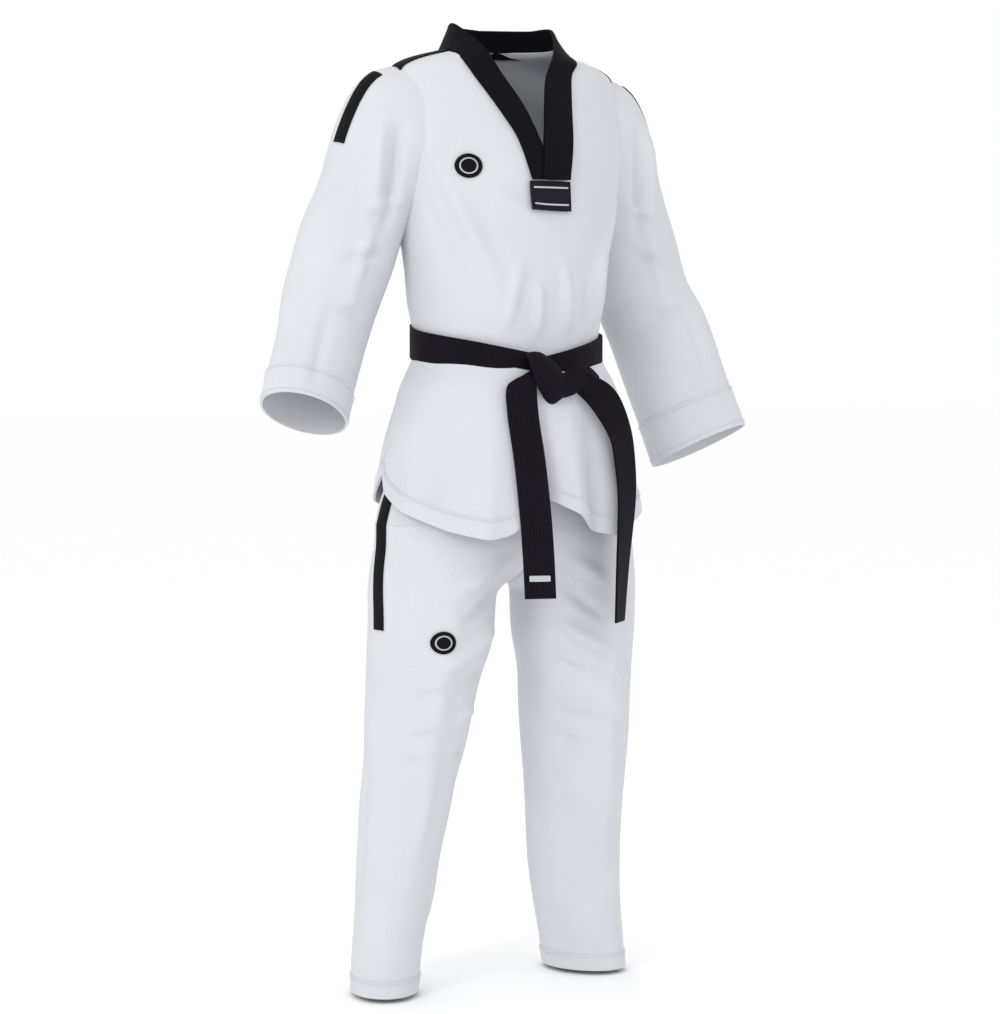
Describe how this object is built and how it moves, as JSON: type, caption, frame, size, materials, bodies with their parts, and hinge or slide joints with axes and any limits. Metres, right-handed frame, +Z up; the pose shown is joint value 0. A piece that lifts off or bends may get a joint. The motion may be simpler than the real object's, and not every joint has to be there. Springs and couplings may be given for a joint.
{
  "type": "martial arts uniform",
  "caption": "White V-neck training uniform of jacket, tied black belt and trousers, shaped as worn, with bending sleeves and legs and lifting jacket flaps.",
  "frame": {"origin": "middle of the trouser waistband's top edge, where the wearer's waist holds the uniform", "axes": "+Z up along the wearer, -Y the wearer's front, +X the wearer's left"},
  "size_m": [0.7953, 0.3025, 1.4064],
  "materials": {
    "white_cloth": "matte",
    "black_tape": "matte",
    "black_belt": "matte",
    "black_collar": "matte",
    "label_cloth": "matte",
    "elastic": "matte",
    "eyelet_thread": "matte",
    "white_thread": "matte"
  },
  "bodies": {
    "trousers": {"seat_front": "white_cloth", "seat_back": "white_cloth", "crotch_gusset": "white_cloth", "waistband": "white_cloth", "waist_elastic": "elastic", "drawstring_eyelets": "eyelet_thread", "hip_tape_left": "black_tape", "hip_tape_right": "black_tape"},
    "thigh_right": {"leg_upper_right": "white_cloth", "side_tape_right": "black_tape", "thigh_badge": "black_tape"},
    "thigh_left": {"leg_upper_left": "white_cloth", "side_tape_left": "black_tape"},
    "shin_right": {"leg_lower_right": "white_cloth", "leg_hem_right": "white_cloth"},
    "shin_left": {"leg_lower_left": "white_cloth", "leg_hem_left": "white_cloth"},
    "jacket": {"chest_front": "white_cloth", "chest_back": "white_cloth", "collar_back": "black_collar", "lapel_right": "black_collar", "lapel_left": "black_collar", "collar_label": "label_cloth", "shoulder_tape_left": "black_tape", "shoulder_tape_right": "black_tape", "chest_badge": "black_tape", "belt_wrap_inner": "black_belt", "belt_wrap_outer": "black_belt", "knot_wrap": "black_belt", "knot_loop": "black_belt"},
    "flap_front": {"skirt_front": "white_cloth", "hem_front": "white_cloth"},
    "flap_back": {"skirt_back": "white_cloth", "hem_back": "white_cloth"},
    "belt_end_right": {"belt_tail_right": "black_belt", "belt_rank_bar": "white_thread"},
    "belt_end_left": {"belt_tail_left": "black_belt"},
    "arm_upper_right": {"sleeve_upper_right": "white_cloth", "sleeve_tape_right": "black_tape"},
    "arm_upper_left": {"sleeve_upper_left": "white_cloth", "sleeve_tape_left": "black_tape"},
    "arm_lower_right": {"sleeve_lower_right": "white_cloth", "cuff_hem_right": "white_cloth"},
    "arm_lower_left": {"sleeve_lower_left": "white_cloth", "cuff_hem_left": "white_cloth"}
  },
  "joints": [
    {"name": "jacket_lift", "type": "slide", "parent": "trousers", "child": "jacket", "axis": [0, 0, 1], "range_m": [0, 0.45]},
    {"name": "front_flap_lift", "type": "hinge", "parent": "jacket", "child": "flap_front", "pos_m": [0, -0.118, -0.087], "axis": [-1, 0, 0], "range_deg": [0, 25]},
    {"name": "back_flap_lift", "type": "hinge", "parent": "jacket", "child": "flap_back", "pos_m": [0, 0.112, -0.03], "axis": [1, 0, 0], "range_deg": [0, 40]},
    {"name": "hip_right", "type": "hinge", "parent": "trousers", "child": "thigh_right", "pos_m": [-0.113, 0.01, -0.335], "axis": [-1, 0, 0], "range_deg": [0, 45]},
    {"name": "knee_right", "type": "hinge", "parent": "thigh_right", "child": "shin_right", "pos_m": [-0.129, 0.032, -0.545], "axis": [1, 0, 0], "range_deg": [0, 70]},
    {"name": "shoulder_right", "type": "hinge", "parent": "jacket", "child": "arm_upper_right", "pos_m": [-0.19, 0.028, 0.275], "axis": [0, 1, 0], "range_deg": [0, 50]},
    {"name": "elbow_right", "type": "hinge", "parent": "arm_upper_right", "child": "arm_lower_right", "pos_m": [-0.257, 0.043, 0.065], "axis": [-1, 0, 0], "range_deg": [0, 60]},
    {"name": "belt_end_swing_right", "type": "hinge", "parent": "flap_front", "child": "belt_end_right", "pos_m": [0, -0.118, -0.087], "axis": [-1, 0, 0], "range_deg": [0, 30]},
    {"name": "hip_left", "type": "hinge", "parent": "trousers", "child": "thigh_left", "pos_m": [0.113, 0.01, -0.335], "axis": [-1, 0, 0], "range_deg": [0, 45]},
    {"name": "knee_left", "type": "hinge", "parent": "thigh_left", "child": "shin_left", "pos_m": [0.129, 0.032, -0.545], "axis": [1, 0, 0], "range_deg": [0, 70]},
    {"name": "shoulder_left", "type": "hinge", "parent": "jacket", "child": "arm_upper_left", "pos_m": [0.19, 0.028, 0.275], "axis": [0, -1, 0], "range_deg": [0, 50]},
    {"name": "elbow_left", "type": "hinge", "parent": "arm_upper_left", "child": "arm_lower_left", "pos_m": [0.257, 0.043, 0.065], "axis": [-1, 0, 0], "range_deg": [0, 60]},
    {"name": "belt_end_swing_left", "type": "hinge", "parent": "flap_front", "child": "belt_end_left", "pos_m": [0, -0.118, -0.087], "axis": [-1, 0, 0], "range_deg": [0, 30]}
  ],
  "couplings": [
    {"joint": "belt_end_swing_right", "follows": "hip_right", "ratio": 0.6},
    {"joint": "belt_end_swing_left", "follows": "hip_left", "ratio": 0.6}
  ]
}
